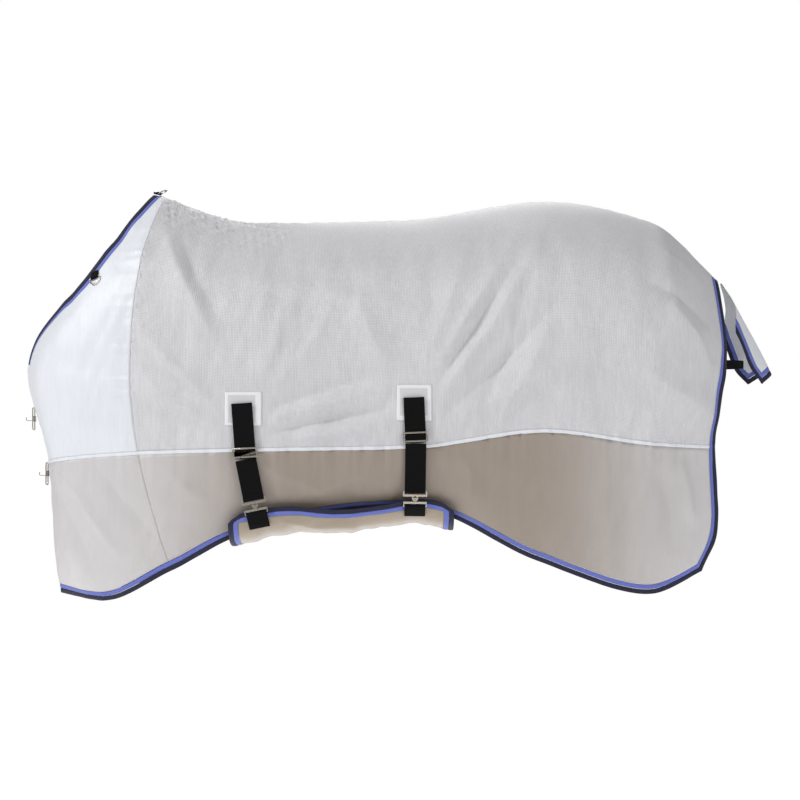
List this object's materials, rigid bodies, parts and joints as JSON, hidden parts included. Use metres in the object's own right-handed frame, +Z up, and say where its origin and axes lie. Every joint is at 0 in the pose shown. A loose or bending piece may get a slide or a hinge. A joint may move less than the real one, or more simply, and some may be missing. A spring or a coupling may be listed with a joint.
{
  "type": "fly sheet",
  "caption": "Mesh fly sheet for a horse with smooth shoulders and skirts, navy and blue edging, belly band, tail flap, fleece at the withers and nickel fittings",
  "frame": {"origin": "front end of the back seam, over the withers", "axes": "+X along the horse towards its tail, +Y towards its off side, +Z up"},
  "size_m": [1.9119, 0.6507, 1.037],
  "materials": {
    "mesh": "matte",
    "smooth_cloth": "satin",
    "navy": "matte",
    "royal": "matte",
    "band_cloth": "satin",
    "fleece": "matte",
    "black_webbing": "satin",
    "nickel": "polished"
  },
  "bodies": {
    "root": {"belly_band": "band_cloth", "belly_band_binding": "navy", "belly_band_trim": "royal", "front_band_tab": "black_webbing", "front_strap_lower": "black_webbing", "front_strap_patch": "smooth_cloth", "front_strap_upper": "black_webbing", "lower_chest_strap": "black_webbing", "lower_chest_tab": "black_webbing", "near_body_panel": "mesh", "near_front_skirt": "smooth_cloth", "near_hem_binding": "navy", "near_hem_trim": "royal", "near_leg_ring_tab": "black_webbing", "near_neck_binding": "navy", "near_neck_ring_tab": "black_webbing", "near_neck_trim": "royal", "near_seam_tape": "smooth_cloth", "near_shoulder_panel": "smooth_cloth", "near_side_skirt": "smooth_cloth", "off_body_panel": "mesh", "off_front_skirt": "smooth_cloth", "off_hem_binding": "navy", "off_hem_trim": "royal", "off_leg_ring_tab": "black_webbing", "off_neck_binding": "navy", "off_neck_ring_tab": "black_webbing", "off_neck_trim": "royal", "off_seam_tape": "smooth_cloth", "off_shoulder_panel": "smooth_cloth", "off_side_skirt": "smooth_cloth", "rear_band_tab": "black_webbing", "rear_strap_lower": "black_webbing", "rear_strap_patch": "smooth_cloth", "rear_strap_upper": "black_webbing", "spine_tape": "smooth_cloth", "tail_strap": "black_webbing", "upper_chest_strap": "black_webbing", "upper_chest_tab": "black_webbing", "withers_fleece": "fleece", "withers_ring_tab": "black_webbing"},
    "near_neck_ring_body": {"near_neck_ring": "nickel"},
    "off_neck_ring_body": {"off_neck_ring": "nickel"},
    "withers_ring_body": {"withers_ring": "nickel"},
    "near_leg_ring_body": {"near_leg_ring": "nickel"},
    "off_leg_ring_body": {"off_leg_ring": "nickel"},
    "front_slider_body": {"front_slider": "nickel"},
    "front_keyhole_plate_body": {"front_keyhole_plate": "nickel"},
    "front_hook_body": {"front_hook": "nickel"},
    "rear_slider_body": {"rear_slider": "nickel"},
    "rear_keyhole_plate_body": {"rear_keyhole_plate": "nickel"},
    "rear_hook_body": {"rear_hook": "nickel"},
    "upper_chest_buckle_body": {"upper_chest_buckle": "nickel"},
    "upper_chest_snap_body": {"upper_chest_snap": "nickel"},
    "lower_chest_buckle_body": {"lower_chest_buckle": "nickel"},
    "lower_chest_snap_body": {"lower_chest_snap": "nickel"},
    "tail_flap_body": {"tail_flap": "smooth_cloth", "tail_flap_binding": "navy", "tail_flap_trim": "royal"}
  },
  "joints": [
    {"name": "near_neck_ring_swing", "type": "hinge", "parent": "root", "child": "near_neck_ring_body", "pos_m": [-0.12211, -0.18989, -0.22442], "axis": [-0.8437, 0.3794, -0.3797], "range_deg": [0, 120]},
    {"name": "near_leg_ring_swing", "type": "hinge", "parent": "root", "child": "near_leg_ring_body", "pos_m": [1.38225, -0.17625, -0.7394], "axis": [0.8149, 0.5795, 0], "range_deg": [0, 100]},
    {"name": "off_neck_ring_swing", "type": "hinge", "parent": "root", "child": "off_neck_ring_body", "pos_m": [-0.12211, 0.18989, -0.22442], "axis": [0.8437, 0.3794, 0.3797], "range_deg": [0, 120]},
    {"name": "off_leg_ring_swing", "type": "hinge", "parent": "root", "child": "off_leg_ring_body", "pos_m": [1.38225, 0.17625, -0.7394], "axis": [-0.8149, 0.5795, 0], "range_deg": [0, 100]},
    {"name": "withers_ring_swing", "type": "hinge", "parent": "root", "child": "withers_ring_body", "pos_m": [0.01296, 0, 0.00352], "axis": [0, -1, 0], "range_deg": [0, 45]},
    {"name": "front_slider_slide", "type": "slide", "parent": "root", "child": "front_slider_body", "axis": [-0.0677, -0.0284, 0.9973], "range_m": [0, 0.045]},
    {"name": "front_plate_swing", "type": "hinge", "parent": "root", "child": "front_keyhole_plate_body", "pos_m": [0.27957, -0.30993, -0.76385], "axis": [-0.9806, 0, -0.1959], "range_deg": [0, 8]},
    {"name": "front_hook_swing", "type": "hinge", "parent": "root", "child": "front_hook_body", "pos_m": [0.28643, -0.30863, -0.79815], "axis": [-0.9806, 0, -0.1959], "range_deg": [-6.6, 0]},
    {"name": "rear_slider_slide", "type": "slide", "parent": "root", "child": "rear_slider_body", "axis": [-0.0432, -0.0094, 0.999], "range_m": [0, 0.024]},
    {"name": "rear_plate_swing", "type": "hinge", "parent": "root", "child": "rear_keyhole_plate_body", "pos_m": [0.66623, -0.31147, -0.74664], "axis": [-0.9999, 0, 0.0135], "range_deg": [0, 8]},
    {"name": "rear_hook_swing", "type": "hinge", "parent": "root", "child": "rear_hook_body", "pos_m": [0.66577, -0.30708, -0.78136], "axis": [-0.9999, 0, 0.0135], "range_deg": [-6.6, 0]},
    {"name": "upper_buckle_swing", "type": "hinge", "parent": "root", "child": "upper_chest_buckle_body", "pos_m": [-0.31254, -0.006, -0.57541], "axis": [0, 0, 1], "range_deg": [0, 100]},
    {"name": "upper_snap_swing", "type": "hinge", "parent": "upper_chest_buckle_body", "child": "upper_chest_snap_body", "pos_m": [-0.31254, 0.02, -0.57541], "axis": [0, 0, 1], "range_deg": [-60, 60]},
    {"name": "lower_buckle_swing", "type": "hinge", "parent": "root", "child": "lower_chest_buckle_body", "pos_m": [-0.27851, -0.006, -0.71678], "axis": [0, 0, 1], "range_deg": [0, 100]},
    {"name": "lower_snap_swing", "type": "hinge", "parent": "lower_chest_buckle_body", "child": "lower_chest_snap_body", "pos_m": [-0.27851, 0.02, -0.71678], "axis": [0, 0, 1], "range_deg": [-60, 60]},
    {"name": "tail_flap_lift", "type": "hinge", "parent": "root", "child": "tail_flap_body", "pos_m": [1.453, 0, -0.228], "axis": [0, -1, 0], "range_deg": [0, 120]}
  ],
  "couplings": [
    {"joint": "front_hook_swing", "follows": "front_plate_swing", "ratio": -0.8158},
    {"joint": "rear_hook_swing", "follows": "rear_plate_swing", "ratio": -0.8158}
  ]
}
